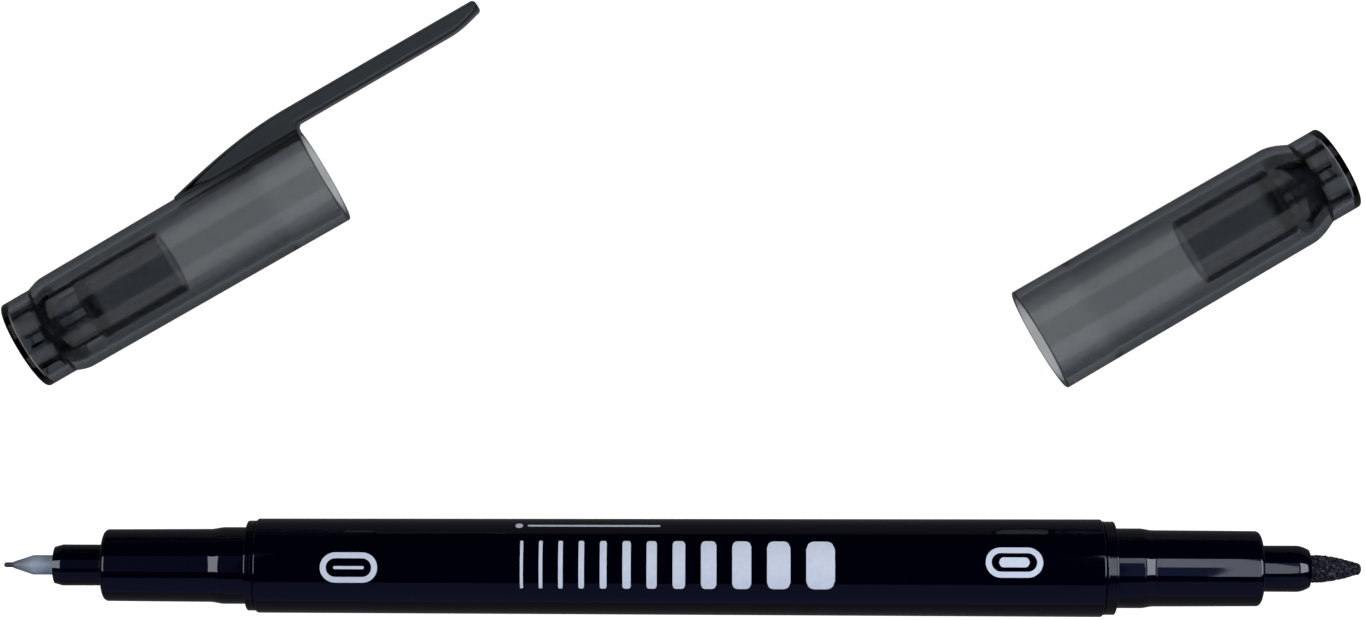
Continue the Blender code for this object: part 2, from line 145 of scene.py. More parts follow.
room = bpy.data.worlds.new("dark_room")
room.use_nodes = True
backdrop = room.node_tree.nodes["Background"]
path = room.node_tree.nodes.new("ShaderNodeLightPath")
unseen = maths(room.node_tree, "ADD", path.outputs["Is Reflection Ray"],
               path.outputs["Is Diffuse Ray"])
seen = new_node(room.node_tree, "MapRange", To_Min=1.0, To_Max=ROOM_GLOW)
room.node_tree.links.new(unseen, seen.inputs["Value"])
room.node_tree.links.new(seen.outputs["Result"], backdrop.inputs["Strength"])
bpy.context.scene.world = room
lit = {kind: bpy.data.collections.new("lit_" + kind) for kind in ("marker", "cap")}
for receivers in lit.values():
    receivers.objects.link(light_table)


def soft_box(name, kind, centre, size, radiance, colour=(1.0, 1.0, 1.0)):
    """A level rectangular light that glows with radiance on the pieces of one kind."""
    data = bpy.data.lights.new(name, "AREA")
    data.shape = "RECTANGLE"
    data.size, data.size_y = size
    data.energy = radiance * math.pi * data.size * data.size_y
    data.color = colour
    light = bpy.data.objects.new(name, data)
    light.location = centre
    light.light_linking.receiver_collection = lit[kind]
    bpy.context.scene.collection.objects.link(light)
    return light


BOX_HEIGHT = 220 * MM
FAR = 140 * MM
DIM_BLUE, CARD_BLUE = (0.3, 0.4, 1.0), (0.4, 0.44, 1.0)
COOL = (0.84, 0.88, 1.0)
CARD_LENGTH, CARD_TALL, CARD_AWAY = 900 * MM, 412 * MM, 300 * MM
CAP_BOX_SIZE = (420 * MM, 320 * MM)
CAP_BOX_MIDDLE = 31 * MM
CAP_BOX_ASIDE, CAP_BOX_AWAY = -134 * MM, 230 * MM
CAP_TURN = 30.3

# Each row holds a name, the low and high X, the low Y and the lift in mm, a radiance and a colour.
for name, low_x, high_x, low_y, lift, radiance, colour in (
        ("left_box", -290, -128, -62, 0, 5.7, COOL),
        ("left_panel", -128, -74, -62, 0, 0.2, DIM_BLUE),
        ("right_gap", 74, 132, -70, 2, 0.55, DIM_BLUE),
        ("right_edge", 74, 81, 74, 0, 2.5, COOL),
        ("right_strip", 81, 93, 28, 0, 3.1, COOL),
        ("right_panel", 93, 103.5, -78, 0, 2.9, COOL),
        ("right_box", 132, 400, -62, 0, 7.4, COOL)):
    width, depth = (high_x - low_x) * MM, FAR - low_y * MM
    soft_box(name, "marker", ((low_x + high_x) / 2 * MM, FAR - depth / 2, BOX_HEIGHT + lift * MM),
             (width, depth), radiance, colour)
near_card = soft_box("near_card", "marker", (0.0, -CARD_AWAY, CARD_TALL / 2),
                     (CARD_LENGTH, CARD_TALL), 0.3, CARD_BLUE)
near_card.rotation_euler = (math.radians(90), 0.0, 0.0)
for name, side in (("cap_box_far", 1), ("cap_box_near", -1)):
    centre = (side * CAP_BOX_ASIDE, CAP_BOX_MIDDLE + side * CAP_BOX_AWAY, BOX_HEIGHT)
    cap_box = soft_box(name, "cap", centre, CAP_BOX_SIZE, 0.65)
    cap_box.rotation_euler = (0.0, 0.0, math.radians(CAP_TURN))

# ---------------------------------------------------------------------------------------------
# Barrel. One injection-moulded tube in glossy black plastic, tapered by its draft, so that the
# bullet end is the thicker one. Its rims are rounded, and a section is pushed into each end.
# ---------------------------------------------------------------------------------------------
HALF_BARREL = (barrel_high.x - barrel_low.x) / 2
FINE_RADIUS = 4.81 * MM
BULLET_RADIUS = 4.99 * MM
BORE_RADIUS = 3.75 * MM
RIM_ROUND = 0.22 * MM
ARC_STEPS = 8
TURN_SIDES = 160
BRACE = 0.04 * MM
WELD = 0.5e-6


def arc(radius, height, size, start, stop, steps=ARC_STEPS):
    """Points (radius + size cos a, height + size sin a) for a from start to stop in degrees."""
    angle = np.radians(np.linspace(start, stop, steps + 1))
    return np.column_stack([radius + size * np.cos(angle), height + size * np.sin(angle)])


def braced(outline, closed):
    """The outline with a point BRACE inside both ends of each long stretch, so flats stay flat."""
    start = outline if closed else outline[:-1]
    stop = np.roll(outline, -1, 0) if closed else outline[1:]
    length = np.linalg.norm(stop - start, axis=1)
    step = (stop - start) * (BRACE / np.maximum(length, BRACE))[:, None]
    long = length > 5 * BRACE
    points = np.stack([start, start + step, stop - step], 1)
    kept = points[np.stack([np.ones_like(long), long, long], 1)]
    return kept if closed else np.vstack([kept, outline[-1:]])


def grid_mesh(name, points, rows_closed, columns_closed, matrix, sharp=40):
    """Quads over points[row, column]; corners that meet, as at a pole, become one.

    The UV map holds the column's share of a round and the distance along the rows in metres.
    """
    rows, columns = points.shape[:2]
    row = np.arange(rows if rows_closed else rows - 1)[:, None, None]
    column = np.arange(columns if columns_closed else columns - 1)[None, :, None]
    corner_row = row + np.array([0, 1, 1, 0]) + 0 * column
    corner_column = column + np.array([0, 0, 1, 1]) + 0 * row
    faces = (corner_row % rows) * columns + corner_column % columns
    mesh = bpy.data.meshes.new(name)
    mesh.from_pydata(points.reshape(-1, 3).tolist(), [], faces.reshape(-1, 4).tolist())
    path_points = points[:, 0]
    steps = np.linalg.norm(np.roll(path_points, -1, 0) - path_points, axis=1)
    along = np.concatenate([[0.0], np.cumsum(steps)])
    chart = np.stack([corner_column / columns, along[corner_row]], -1)
    mesh.uv_layers.new(name="chart").data.foreach_set("uv", chart.astype(np.float32).ravel())
    work = bmesh.new()
    work.from_mesh(mesh)
    bmesh.ops.remove_doubles(work, verts=work.verts, dist=WELD)
    bmesh.ops.recalc_face_normals(work, faces=work.faces)
    work.to_mesh(mesh)
    work.free()
    mesh.transform(matrix)
    mesh.shade_smooth()
    mesh.set_sharp_from_angle(angle=math.radians(sharp))
    return mesh


def turned(name, outline, closed, matrix, sides=TURN_SIDES, relief=None):
    """The outline of (radius, height) points carried round the axis.

    A point is (r cos a, r sin a, height), with a = 2 pi column / sides and r the radius plus
    what relief(a, height) adds to it.
    """
    outline = braced(outline, closed)
    angle = 2 * np.pi * np.arange(sides) / sides + 0 * outline[:, :1]
    height = outline[:, 1:] + 0 * angle
    radius = outline[:, :1] + (relief(angle, height) if relief else 0 * angle)
    points = np.stack([radius * np.cos(angle), radius * np.sin(angle), height], -1)
    return grid_mesh(name, points, closed, True, matrix)


def end_frame(origin, forward):
    """Local Z runs along forward, which lies flat, and local X points straight down."""
    forward, down = Vector(forward).normalized(), Vector((0.0, 0.0, -1.0))
    turn = Matrix((down, forward.cross(down), forward)).transposed()
    return Matrix.Translation(origin) @ turn.to_4x4()


def add_piece(name, mesh, material, slot, body, *nodes):
    """Show a mesh as a piece that rides on a body and stands for CAD nodes."""
    piece = placed(name, mesh)
    mesh.materials.clear()
    mesh.materials.append(material)
    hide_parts(*nodes)
    lit["marker" if body == "marker" else "cap"].objects.link(piece)
    if body:
        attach(piece, body)
    return piece


def new_group(name, inputs, outputs):
    """A shader node group with float inputs {name: value} and outputs, and its two end nodes."""
    group = bpy.data.node_groups.new(name, "ShaderNodeTree")
    for label, value in inputs.items():
        socket = group.interface.new_socket(label, in_out="INPUT", socket_type="NodeSocketFloat")
        socket.default_value = value
    for label in outputs:
        group.interface.new_socket(label, in_out="OUTPUT", socket_type="NodeSocketFloat")
    return group, group.nodes.new("NodeGroupInput"), group.nodes.new("NodeGroupOutput")


def noise(tree, scale, detail=2.0, roughness=0.5, vector=None):
    """Fine noise on Object coordinates, or on the vector socket given."""
    node = new_node(tree, "TexNoise", Detail=detail, Roughness=roughness)
    source = vector or tree.nodes.new("ShaderNodeTexCoord").outputs["Object"]
    tree.links.new(source, node.inputs["Vector"])
    if isinstance(scale, (int, float)):
        node.inputs["Scale"].default_value = scale
    else:
        tree.links.new(scale, node.inputs["Scale"])
    return node.outputs["Fac"]


# Moulded gloss: scuffs vary the roughness, and the mould's slow ripple is the height.
MOULD_GLOSS, inputs, outputs = new_group(
    "mould_gloss", {"Gloss": 0.09, "Scuffing": 0.06, "Ripple": 400.0}, ("Roughness", "Height"))
scuffs = noise(MOULD_GLOSS, 2600.0, 5.0, 0.65)
worn = maths(MOULD_GLOSS, "MULTIPLY", scuffs, inputs.outputs["Scuffing"])
MOULD_GLOSS.links.new(maths(MOULD_GLOSS, "ADD", worn, inputs.outputs["Gloss"]),
                      outputs.inputs["Roughness"])
MOULD_GLOSS.links.new(noise(MOULD_GLOSS, inputs.outputs["Ripple"], 1.0),
                      outputs.inputs["Height"])


def lay_gloss(tree, shader, depth, **values):
    """Give a shader the moulded gloss group's roughness, and its height as a bump of depth."""
    finish = tree.nodes.new("ShaderNodeGroup")
    finish.node_tree = MOULD_GLOSS
    set_sockets(finish, **values)
    bump = new_node(tree, "Bump", Strength=1.0, Distance=depth)
    tree.links.new(finish.outputs["Roughness"], shader.inputs["Roughness"])
    tree.links.new(finish.outputs["Height"], bump.inputs["Height"])
    tree.links.new(bump.outputs["Normal"], shader.inputs["Normal"])


barrel_black, tree, shader = new_material("barrel_gloss_black")
set_sockets(shader, Base_Color=(0.0005, 0.0004, 0.0034, 1), IOR=1.46)
lay_gloss(tree, shader, 0.0015 * MM, Gloss=0.02, Scuffing=0.04)

outline = np.vstack([
    arc(BULLET_RADIUS - RIM_ROUND, HALF_BARREL - RIM_ROUND, RIM_ROUND, 90, 0),
    arc(FINE_RADIUS - RIM_ROUND, RIM_ROUND - HALF_BARREL, RIM_ROUND, 0, -90),
    [(BORE_RADIUS, -HALF_BARREL), (BORE_RADIUS, HALF_BARREL)]])
barrel_frame = end_frame((0.0, 0.0, AXIS_HEIGHT), (1, 0, 0))
add_piece("barrel_tube", turned("barrel_tube", outline, True, barrel_frame), barrel_black,
          "barrel_black", "marker", "barrel")

# ---------------------------------------------------------------------------------------------
# Prints. White ink, pad-printed on the barrel in a film of a few hundredths of a millimetre: a
# pill with a thin line at the fine end, one with a broad line at the bullet end, and between
# them a rule over a row of strokes that grow from fine to broad.
# ---------------------------------------------------------------------------------------------
INK_FILM = 0.02 * MM
INK_BITE = 0.01 * MM


def wrapped(along, across, lift):
    """Points on the barrel: across is the arc length from its top line, towards +Y.

    (x, r sin(across / R), r cos(across / R)), where R is the barrel's radius at x and r = R + lift.
    """
    radius = FINE_RADIUS + (BULLET_RADIUS - FINE_RADIUS) * (along / HALF_BARREL + 1) / 2
    angle = across / radius
    return np.stack([along, (radius + lift) * np.sin(angle),
                     AXIS_HEIGHT + (radius + lift) * np.cos(angle)], -1)


def inked(along, across):
    """A closed film of ink over the patch (along, across)[row, column], bitten into the barrel.

    The grid is carried over the top face and back under it, so that its two ends meet.
    """
    top, under = wrapped(along, across, INK_FILM), wrapped(along, across, -INK_BITE)
    return np.concatenate([top, under[:, ::-1]], 1)


def bar_patch(x, y, length, width, corner, columns=12):
    """A bar of length along X and width across, centred on (x, y), with its ends rounded.

    Half its width at a distance d from an end is width/2 - corner + sqrt(corner^2 - (corner-d)^2).
    """
    bend = np.sin(np.linspace(0, np.pi / 2, 7)) * corner
    inset = np.concatenate([bend, length - bend[::-1]])
    depth = np.minimum(inset, length - inset)
    rise = np.sqrt(np.maximum(corner**2 - np.maximum(corner - depth, 0)**2, 0))
    half = width / 2 - corner + rise
    share = np.linspace(-1, 1, columns + 1)
    along = (x - length / 2 + inset)[:, None] + 0 * share
    return along, y + half[:, None] * share


def pill_patch(x, y, length, width, stroke, steps=16):
    """A closed pill outline of that stroke. Its middle line is two half rounds and two straights.

    A point is (x + sx (length - width)/2 + r cos a, y + r sin a), where sx is the side's sign and
    r runs across the stroke.
    """
    turn = np.concatenate([np.linspace(-90, 90, steps + 1), np.linspace(90, 270, steps + 1)])
    angle = np.radians(turn)[:, None]
    corner = (width - stroke) / 2
    reach = (length - width) / 2 * np.where(np.arange(2 * steps + 2) <= steps, 1, -1)[:, None]
    radius = corner + stroke * np.linspace(0.5, -0.5, 5)
    return x + reach + radius * np.cos(angle), y + radius * np.sin(angle)


white_ink, tree, shader = new_material("white_pad_ink")
fleck = new_node(tree, "MapRange", To_Min=0.66, To_Max=0.8)
tree.links.new(noise(tree, 1800.0, 3.0), fleck.inputs["Value"])
tint = new_node(tree, "CombineColor")
for channel, share in (("Red", 0.93), ("Green", 0.98), ("Blue", 1.02)):
    tree.links.new(maths(tree, "MULTIPLY", fleck.outputs["Result"], share), tint.inputs[channel])
tree.links.new(tint.outputs["Color"], shader.inputs["Base Color"])
lay_gloss(tree, shader, 0.001 * MM, Gloss=0.35, Scuffing=0.2, Ripple=2500.0)

PILL_LENGTH, PILL_WIDTH, PILL_STROKE = 5.8 * MM, 3.1 * MM, 0.6 * MM
PILL_INSETS, PILL_RAISES = (9.8 * MM, 9.4 * MM), (0.2 * MM, 0.95 * MM)
LINE_LENGTH, LINE_WIDTHS = 3.1 * MM, (0.3 * MM, 1.0 * MM)
STROKE_COUNT = 12
STROKE_SPAN = 31.8 * MM
STROKE_TALL = 5.0 * MM
STROKE_THIN, STROKE_BROAD = 0.3 * MM, 2.9 * MM
STROKES_X, STROKES_Y = -0.2 * MM, 0.6 * MM
STROKE_ROUND, LINE_ROUND = 0.3, 0.49
RULE_Y, RULE_ASIDE = 5.3 * MM, 7.4 * MM
RULE_LENGTH, RULE_WIDTH, RULE_CORNER = 13.5 * MM, 0.3 * MM, 0.14 * MM
DOT_ASIDE, DOT_SIZE, DOT_CORNER = -0.2 * MM, 0.8 * MM, 0.39 * MM

prints = []
for side, inset, y, line in zip((-1, 1), PILL_INSETS, PILL_RAISES, LINE_WIDTHS):
    x = side * (HALF_BARREL - inset)
    prints.append((pill_patch(x, y, PILL_LENGTH, PILL_WIDTH, PILL_STROKE), True))
    prints.append((bar_patch(x, y, LINE_LENGTH, line, LINE_ROUND * line), False))
share = np.arange(STROKE_COUNT) / (STROKE_COUNT - 1)
widths = STROKE_THIN * (STROKE_BROAD / STROKE_THIN) ** share
gap = (STROKE_SPAN - widths.sum()) / (STROKE_COUNT - 1)
starts = STROKES_X - STROKE_SPAN / 2 + np.concatenate([[0], np.cumsum(widths + gap)[:-1]])
for start, width in zip(starts, widths):
    patch = bar_patch(start + width / 2, STROKES_Y, width, STROKE_TALL, STROKE_ROUND * width,
                      columns=16)
    prints.append((patch, False))
for aside, length, width, corner in ((RULE_ASIDE, RULE_LENGTH, RULE_WIDTH, RULE_CORNER),
                                     (DOT_ASIDE, DOT_SIZE, DOT_SIZE, DOT_CORNER)):
    prints.append((bar_patch(starts[0] + aside, RULE_Y, length, width, corner), False))

film = bmesh.new()
for (along, across), closed in prints:
    points = inked(along, across)
    if not closed:
        middle = points.mean(1, keepdims=True) + 0 * points
        points = np.concatenate([middle[:1], points, middle[-1:]])
    film.from_mesh(grid_mesh("print", points, closed, True, Matrix.Identity(4)))
print_mesh = bpy.data.meshes.new("barrel_prints")
film.to_mesh(print_mesh)
film.free()
print_mesh.shade_smooth()
print_mesh.set_sharp_from_angle(angle=math.radians(40))
barrel_prints = placed("barrel_prints", print_mesh)
print_mesh.materials.append(white_ink)
lit["marker"].objects.link(barrel_prints)
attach(barrel_prints, "marker")

# ---------------------------------------------------------------------------------------------
# Ink store. A rod of bundled polyester fibre wrapped in clear film, which slides into the
# barrel, and the thin fibre feed that brings its ink to the fine point. All stay hidden.
# ---------------------------------------------------------------------------------------------
FIBRES, inputs, outputs = new_group("fibre_strands", {"Strand": 1.0}, ("Mask",))
where = FIBRES.nodes.new("ShaderNodeTexCoord")
stretch = FIBRES.nodes.new("ShaderNodeMapping")
stretch.inputs["Scale"].default_value = (0.06, 1.0, 1.0)
FIBRES.links.new(where.outputs["Object"], stretch.inputs["Vector"])
strands = noise(FIBRES, 9000.0, 3.0, 0.6, stretch.outputs["Vector"])
FIBRES.links.new(maths(FIBRES, "MULTIPLY", strands, inputs.outputs["Strand"]),
                 outputs.inputs["Mask"])


def colour_by(tree, value, dark, light, start=0.0, stop=1.0):
    """A colour that runs from dark to light as value runs from start to stop."""
    ramp = tree.nodes.new("ShaderNodeValToRGB")
    ramp.color_ramp.elements[0].position = start
    ramp.color_ramp.elements[1].position = stop
    ramp.color_ramp.elements[0].color = (*dark, 1)
    ramp.color_ramp.elements[1].color = (*light, 1)
    tree.links.new(value, ramp.inputs["Fac"])
    return ramp.outputs["Color"]


inked_fibre, tree, shader = new_material("inked_fibre")
strand = tree.nodes.new("ShaderNodeGroup")
strand.node_tree = FIBRES
set_sockets(shader, Roughness=0.95)
tree.links.new(colour_by(tree, strand.outputs["Mask"], (0.006, 0.006, 0.01), (0.09, 0.09, 0.12),
                         0.3, 0.75), shader.inputs["Base Color"])
bump = new_node(tree, "Bump", Strength=0.8, Distance=0.04 * MM)
tree.links.new(strand.outputs["Mask"], bump.inputs["Height"])
tree.links.new(bump.outputs["Normal"], shader.inputs["Normal"])

clear_film, tree, shader = new_material("clear_wrap_film")
set_sockets(shader, Base_Color=(0.75, 0.75, 0.78, 1), IOR=1.5, Transmission_Weight=1.0)
lay_gloss(tree, shader, 0.01 * MM, Gloss=0.12, Ripple=900.0)

for node, material in (("ink_reservoir", inked_fibre), ("fine_feed", inked_fibre),
                       ("reservoir_film", clear_film)):
    mesh = frame["nodes"][node].data
    mesh.materials.clear()
    mesh.materials.append(material)

# ---------------------------------------------------------------------------------------------
# Sections. Glossy black mouldings pushed into the barrel's ends. Each has a finely ribbed
# flange, a rear land, a short taper to the grip land, a rounded shoulder and a thin nose whose
# front draws in round the nib.
# ---------------------------------------------------------------------------------------------
SEAT_GAP = 0.1 * MM
PLUG_RADIUS = BORE_RADIUS - 0.05 * MM
PLUG_LENGTH = 8.0 * MM
SECTION_BORE = 2.6 * MM
HEEL_LENGTH = 1.6 * MM
SHOULDER_ROUND, FLANGE_ROUND = 0.5 * MM, 0.15 * MM
RIBS_FRONT, RIBS_BACK, RIB_STEPS = 0.2 * MM, 0.12 * MM, 12
ROOT_FLARE, ROOT_LENGTH, ROOT_DROP = 0.08 * MM, 0.12 * MM, 0.01 * MM

section_black, tree, shader = new_material("section_gloss_black")
set_sockets(shader, Base_Color=(0.0005, 0.0004, 0.0034, 1), IOR=1.46)
lay_gloss(tree, shader, 0.0012 * MM, Gloss=0.02, Scuffing=0.04, Ripple=700.0)


def section_outline(flange, rear, land, nose, hole):
    """Outline of one section.

    flange is (radius, end, number of ribs, their depth), rear is (radius, end), land is (radius
    behind, radius in front, start, shoulder), nose is (radius, front radius, length of the draw,
    power, end), and hole is the radius of the hole for the nib. The nose draws in to its front
    radius by that power of the share of the way along the draw. The taper behind the land falls
    by 3 t^2 - 2 t^3 over its length, and the ribs are a cosine.
    """
    flange_radius, flange_end, ribs, rib_depth = flange
    rear_radius, rear_end = rear
    land_radius, land_front, land_start, shoulder = land
    nose_radius, nose_front, draw, power, nose_end = nose
    share = np.linspace(1, 0, 11) if power > 1 else np.array([1.0, 0.0])
    front = np.column_stack([nose_radius - (nose_radius - nose_front) * share**power,
                             nose_end - draw * (1 - share)])
    wave = np.linspace(0, 2 * np.pi * ribs, RIB_STEPS * ribs + 1)
    rib = np.linspace(flange_end - RIBS_FRONT, SEAT_GAP + RIBS_BACK, RIB_STEPS * ribs + 1)
    ribbed = flange_radius - rib_depth / 2 * (1 - np.cos(wave))
    down = np.linspace(0, 1, 15)
    taper = np.column_stack([land_radius + (rear_radius - land_radius) * down**2 * (3 - 2 * down),
                             land_start + (rear_end - land_start) * down])
    seat = shoulder - HEEL_LENGTH
    return np.vstack([
        [(hole, nose_end)], front, [(nose_radius - ROOT_DROP, shoulder + ROOT_LENGTH)],
        [(nose_radius + ROOT_FLARE, shoulder)],
        arc(land_front - SHOULDER_ROUND, shoulder - SHOULDER_ROUND, SHOULDER_ROUND, 90, 4),
        taper, [(rear_radius, flange_end)],
        arc(flange_radius - FLANGE_ROUND, flange_end - FLANGE_ROUND, FLANGE_ROUND, 90, 20, 4),
        np.column_stack([ribbed, rib]),
        [(flange_radius, SEAT_GAP), (PLUG_RADIUS, SEAT_GAP),
         (PLUG_RADIUS, -PLUG_LENGTH), (SECTION_BORE, -PLUG_LENGTH), (SECTION_BORE, seat),
         (hole, seat)]])


fine_end = end_frame((-HALF_BARREL, 0.0, AXIS_HEIGHT), (-1, 0, 0))
bullet_end = end_frame((HALF_BARREL, 0.0, AXIS_HEIGHT), (1, 0, 0))
FINE_SHOULDER, FINE_NOSE_END = 15.65 * MM, 20.7 * MM
BULLET_SHOULDER, BULLET_NOSE_END = 16.2 * MM, 21.2 * MM
SLEEVE_RADIUS, NIB_RADIUS = 1.0 * MM, 1.39 * MM
FIT_GAP = 0.05 * MM

SECTIONS = {
    "fine_section": (fine_end, dict(
        flange=(4.6 * MM, 0.95 * MM, 2, 0.008 * MM), rear=(3.92 * MM, 3.3 * MM),
        land=(3.73 * MM, 3.67 * MM, 4.8 * MM, FINE_SHOULDER),
        nose=(2.1 * MM, 1.88 * MM, 0.8 * MM, 1.0, FINE_NOSE_END), hole=SLEEVE_RADIUS + FIT_GAP)),
    "bullet_section": (bullet_end, dict(
        flange=(4.79 * MM, 1.25 * MM, 3, 0.05 * MM), rear=(4.075 * MM, 3.9 * MM),
        land=(3.9 * MM, 3.85 * MM, 5.2 * MM, BULLET_SHOULDER),
        nose=(2.37 * MM, 1.95 * MM, 1.35 * MM, 2.0, BULLET_NOSE_END), hole=NIB_RADIUS + FIT_GAP))}
for node, (end, sizes) in SECTIONS.items():
    name = node + "_body"
    add_piece(name, turned(name, section_outline(**sizes), True, end), section_black,
              "section_black", "marker", node)

# ---------------------------------------------------------------------------------------------
# Fine tip. A milky plastic sleeve, drawn to a cone, holds a thin plastic point by its collar
# inside the section; the ink in the point shows dark through the cone.
# ---------------------------------------------------------------------------------------------
CONE_START, CONE_END = FINE_NOSE_END + 2.25 * MM, FINE_NOSE_END + 4.3 * MM
FINE_TIP = FINE_NOSE_END + 5.25 * MM
SLEEVE_FRONT = 0.33 * MM
POINT_RADIUS = 0.25 * MM
POINT_GAP = 0.02 * MM
COLLAR_RADIUS = SECTION_BORE - FIT_GAP
COLLAR_SEAT = FINE_SHOULDER - HEEL_LENGTH - SEAT_GAP
COLLAR_LENGTH, POCKET_LENGTH = 2.0 * MM, 3.0 * MM
POCKET_RADIUS = 0.8 * MM
RIM_BREAK, RIM_BREAK_LENGTH = 0.03 * MM, 0.04 * MM
BEND_DROP, BEND_AHEAD, BEND_BEHIND = 0.02 * MM, 0.06 * MM, 0.05 * MM

milky, tree, shader = new_material("milky_sleeve")
where = tree.nodes.new("ShaderNodeTexCoord")
split = tree.nodes.new("ShaderNodeSeparateXYZ")
tree.links.new(where.outputs["Object"], split.inputs["Vector"])
towards_tip = new_node(tree, "MapRange", From_Min=-HALF_BARREL - CONE_START,
                       From_Max=-HALF_BARREL - FINE_TIP, To_Min=0.0, To_Max=1.0)
tree.links.new(split.outputs["X"], towards_tip.inputs["Value"])
cloud = maths(tree, "MULTIPLY", noise(tree, 1500.0, 3.0), 0.12)
depth_of_ink = maths(tree, "ADD", towards_tip.outputs["Result"], cloud)
tree.links.new(colour_by(tree, depth_of_ink, (0.3, 0.35, 0.39), (0.035, 0.038, 0.04), 0.0, 1.0),
               shader.inputs["Base Color"])
set_sockets(shader, IOR=1.49, Subsurface_Weight=0.25, Subsurface_Scale=0.4 * MM,
            Subsurface_Radius=(1.0, 1.0, 1.0))
lay_gloss(tree, shader, 0.002 * MM, Gloss=0.28, Scuffing=0.1, Ripple=1500.0)

outline = np.vstack([
    [(POINT_RADIUS + POINT_GAP, CONE_END), (SLEEVE_FRONT - RIM_BREAK, CONE_END),
     (SLEEVE_FRONT, CONE_END - RIM_BREAK_LENGTH),
     (SLEEVE_RADIUS - BEND_DROP, CONE_START + BEND_AHEAD),
     (SLEEVE_RADIUS, CONE_START - BEND_BEHIND), (SLEEVE_RADIUS, COLLAR_SEAT),
     (COLLAR_RADIUS, COLLAR_SEAT), (COLLAR_RADIUS, COLLAR_SEAT - COLLAR_LENGTH),
     (POCKET_RADIUS, COLLAR_SEAT - COLLAR_LENGTH),
     (POCKET_RADIUS, COLLAR_SEAT - COLLAR_LENGTH + POCKET_LENGTH),
     (POINT_RADIUS + POINT_GAP, COLLAR_SEAT - COLLAR_LENGTH + POCKET_LENGTH)]])
add_piece("fine_sleeve", turned("fine_sleeve", outline, True, fine_end, sides=96), milky,
          "sleeve_grey", "marker", "fine_nib_sleeve")

ink_black, tree, shader = new_material("inked_point")
set_sockets(shader, IOR=1.5)
tree.links.new(colour_by(tree, noise(tree, 9000.0, 3.0), (0.002, 0.002, 0.003),
                         (0.03, 0.03, 0.034), 0.35, 0.8), shader.inputs["Base Color"])
lay_gloss(tree, shader, 0.003 * MM, Gloss=0.22, Scuffing=0.2, Ripple=6000.0)
point_back = COLLAR_SEAT - COLLAR_LENGTH + POCKET_LENGTH + SEAT_GAP
outline = np.vstack([[(0.0, FINE_TIP)], arc(0.0, FINE_TIP - POINT_RADIUS, POINT_RADIUS, 85, 0),
                     [(POINT_RADIUS, point_back), (0.0, point_back)]])
point_mesh = turned("fine_writing_point", outline, False, fine_end, sides=64)
add_piece("fine_writing_point", point_mesh, ink_black, "point_black", "marker", "fine_point")

# ---------------------------------------------------------------------------------------------
# Bullet nib. A rod of pressed polyester felt, ground to a full flank and a round tip, soaked
# black; its skin is a mat of short fibres, a little open at the ground flank.
# ---------------------------------------------------------------------------------------------
BULLET_TIP = BULLET_NOSE_END + 5.4 * MM
FLANK_START = BULLET_NOSE_END + 1.1 * MM
TIP_RADIUS, TIP_ROUND = 0.575 * MM, 0.45 * MM
FLANK_BULGE = 0.12 * MM
NIB_BACK = -13.0 * MM
NIB_SUNK = 0.5 * MM
FELT_DEPTH, FELT_FADE, TIP_FADE = 0.03 * MM, 0.5 * MM, 0.3 * MM
WAVE_COUNT = 90
FEWEST_TURNS, MOST_TURNS, STEEPEST_RUN = 3, 34, 22

felt_waves = np.random.default_rng(7)
wave_turns = felt_waves.integers(FEWEST_TURNS, MOST_TURNS, WAVE_COUNT)
wave_runs = felt_waves.uniform(-STEEPEST_RUN, STEEPEST_RUN, WAVE_COUNT) / MM
wave_starts = felt_waves.uniform(0, 2 * np.pi, WAVE_COUNT)


def felt_relief(angle, height):
    """A sum of seeded waves sin(n a + k h + p) round and along the nib.

    It fades out behind the nose's edge, so that the nib fits its hole, and at the very tip.
    """
    phase = wave_turns * angle[..., None] + wave_runs * height[..., None] + wave_starts
    shown = np.clip((height - BULLET_NOSE_END) / FELT_FADE, 0, 1)
    round_tip = np.clip((BULLET_TIP - height) / TIP_FADE, 0, 1)
    return FELT_DEPTH * np.sin(phase).sum(-1) / math.sqrt(WAVE_COUNT / 2) * shown * round_tip


felt, tree, shader = new_material("pressed_felt")
set_sockets(shader, Roughness=0.95, Specular_IOR_Level=0.15, Sheen_Weight=0.06,
            Sheen_Roughness=0.5)
mat_of_fibres = noise(tree, 3000.0, 6.0, 0.75)
tree.links.new(colour_by(tree, mat_of_fibres, (0.001, 0.001, 0.0025), (0.14, 0.14, 0.165),
                         0.5, 0.78), shader.inputs["Base Color"])
bump = new_node(tree, "Bump", Strength=1.0, Distance=0.08 * MM)
tree.links.new(mat_of_fibres, bump.inputs["Height"])
tree.links.new(bump.outputs["Normal"], shader.inputs["Normal"])

share = np.linspace(0, 1, 70)
flank = TIP_RADIUS + (NIB_RADIUS - TIP_RADIUS) * share + FLANK_BULGE * np.sin(np.pi * share)
angle = np.linspace(0, np.pi / 2, 14)[:-1]
outline = np.vstack([
    np.column_stack([TIP_RADIUS * np.sin(angle), BULLET_TIP - TIP_ROUND * (1 - np.cos(angle))]),
    np.column_stack([flank, BULLET_TIP - TIP_ROUND
                     + (FLANK_START - BULLET_TIP + TIP_ROUND) * share]),
    np.column_stack([NIB_RADIUS + 0 * share[:24],
                     np.linspace(FLANK_START, BULLET_NOSE_END - NIB_SUNK, 24)]),
    [(NIB_RADIUS, NIB_BACK), (0.0, NIB_BACK)]])
nib_mesh = turned("bullet_felt_nib", outline, False, bullet_end, relief=felt_relief)
add_piece("bullet_felt_nib", nib_mesh, felt, "felt", "marker", "bullet_nib")

